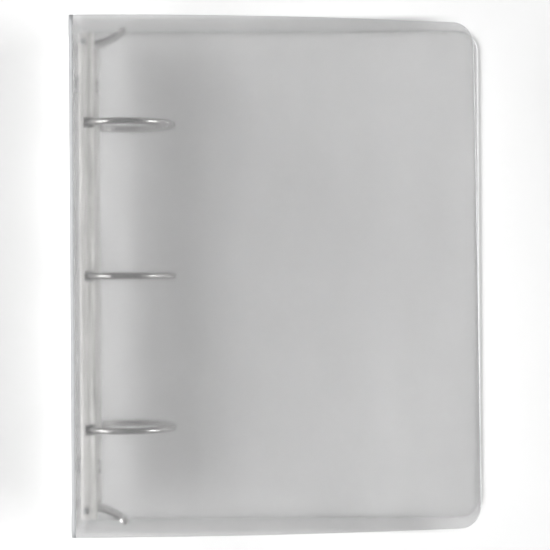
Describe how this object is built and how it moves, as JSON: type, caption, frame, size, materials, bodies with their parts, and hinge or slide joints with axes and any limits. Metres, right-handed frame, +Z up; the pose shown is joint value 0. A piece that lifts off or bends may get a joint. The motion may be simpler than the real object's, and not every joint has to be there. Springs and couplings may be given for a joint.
{
  "type": "ring binder",
  "caption": "Closed frosted plastic ring binder with living-hinge covers, paired hinge plates, opening rings and a lever at each end.",
  "frame": {"origin": "middle of the closed binder's outline, on the surface that its back cover lies on", "axes": "+X from the spine to the fore edge, +Y from foot to head, +Z up from the back cover to the front cover"},
  "size_m": [0.1902, 0.233, 0.055],
  "materials": {
    "frosted_sheet": "translucent frosted polypropylene",
    "thinned_sheet": "polypropylene pressed thin along a fold",
    "nickel_plate": "bright nickel-plated steel",
    "plain_steel": "satin zinc-plated steel"
  },
  "bodies": {
    "back_cover": {"back_cover": "frosted_sheet", "back_living_hinge": "thinned_sheet"},
    "spine": {"spine_panel": "frosted_sheet", "front_living_hinge": "thinned_sheet", "mechanism_housing": "nickel_plate", "head_lever_pin": "plain_steel", "foot_lever_pin": "plain_steel", "head_rivet": "nickel_plate", "foot_rivet": "nickel_plate", "head_post": "plain_steel", "foot_post": "plain_steel"},
    "front_cover": {"front_cover": "frosted_sheet"},
    "front_plate": {"front_hinge_plate": "plain_steel", "front_half_ring_1": "nickel_plate", "front_half_ring_2": "nickel_plate", "front_half_ring_3": "nickel_plate"},
    "back_plate": {"back_hinge_plate": "plain_steel", "back_half_ring_1": "nickel_plate", "back_half_ring_2": "nickel_plate", "back_half_ring_3": "nickel_plate"},
    "head_lever": {"head_lever": "nickel_plate"},
    "foot_lever": {"foot_lever": "nickel_plate"}
  },
  "joints": [
    {"name": "back_cover_fold", "type": "hinge", "parent": "back_cover", "child": "spine", "pos_m": [-0.0933, 0, 0.0006], "axis": [0, -1, 0], "range_deg": [0, 90], "deforming": ["back_living_hinge"]},
    {"name": "front_cover_fold", "type": "hinge", "parent": "spine", "child": "front_cover", "pos_m": [-0.0933, 0, 0.0544], "axis": [0, -1, 0], "range_deg": [0, 200], "deforming": ["front_living_hinge"]},
    {"name": "rings_open", "type": "hinge", "parent": "spine", "child": "front_plate", "pos_m": [-0.0896, 0, 0.0395], "axis": [0, -1, 0], "range_deg": [0, 10]},
    {"name": "back_plate_turn", "type": "hinge", "parent": "spine", "child": "back_plate", "pos_m": [-0.0896, 0, 0.0155], "axis": [0, 1, 0], "range_deg": [0, 10]},
    {"name": "head_lever_press", "type": "hinge", "parent": "spine", "child": "head_lever", "pos_m": [-0.0889, 0.1065, 0.0275], "axis": [0, 0, 1], "range_deg": [0, 25]},
    {"name": "foot_lever_press", "type": "hinge", "parent": "spine", "child": "foot_lever", "pos_m": [-0.0889, -0.1065, 0.0275], "axis": [0, 0, -1], "range_deg": [0, 25]}
  ],
  "couplings": [
    {"joint": "back_plate_turn", "follows": "rings_open", "ratio": 1},
    {"joint": "head_lever_press", "follows": "rings_open", "ratio": 2.5},
    {"joint": "foot_lever_press", "follows": "rings_open", "ratio": 2.5}
  ]
}
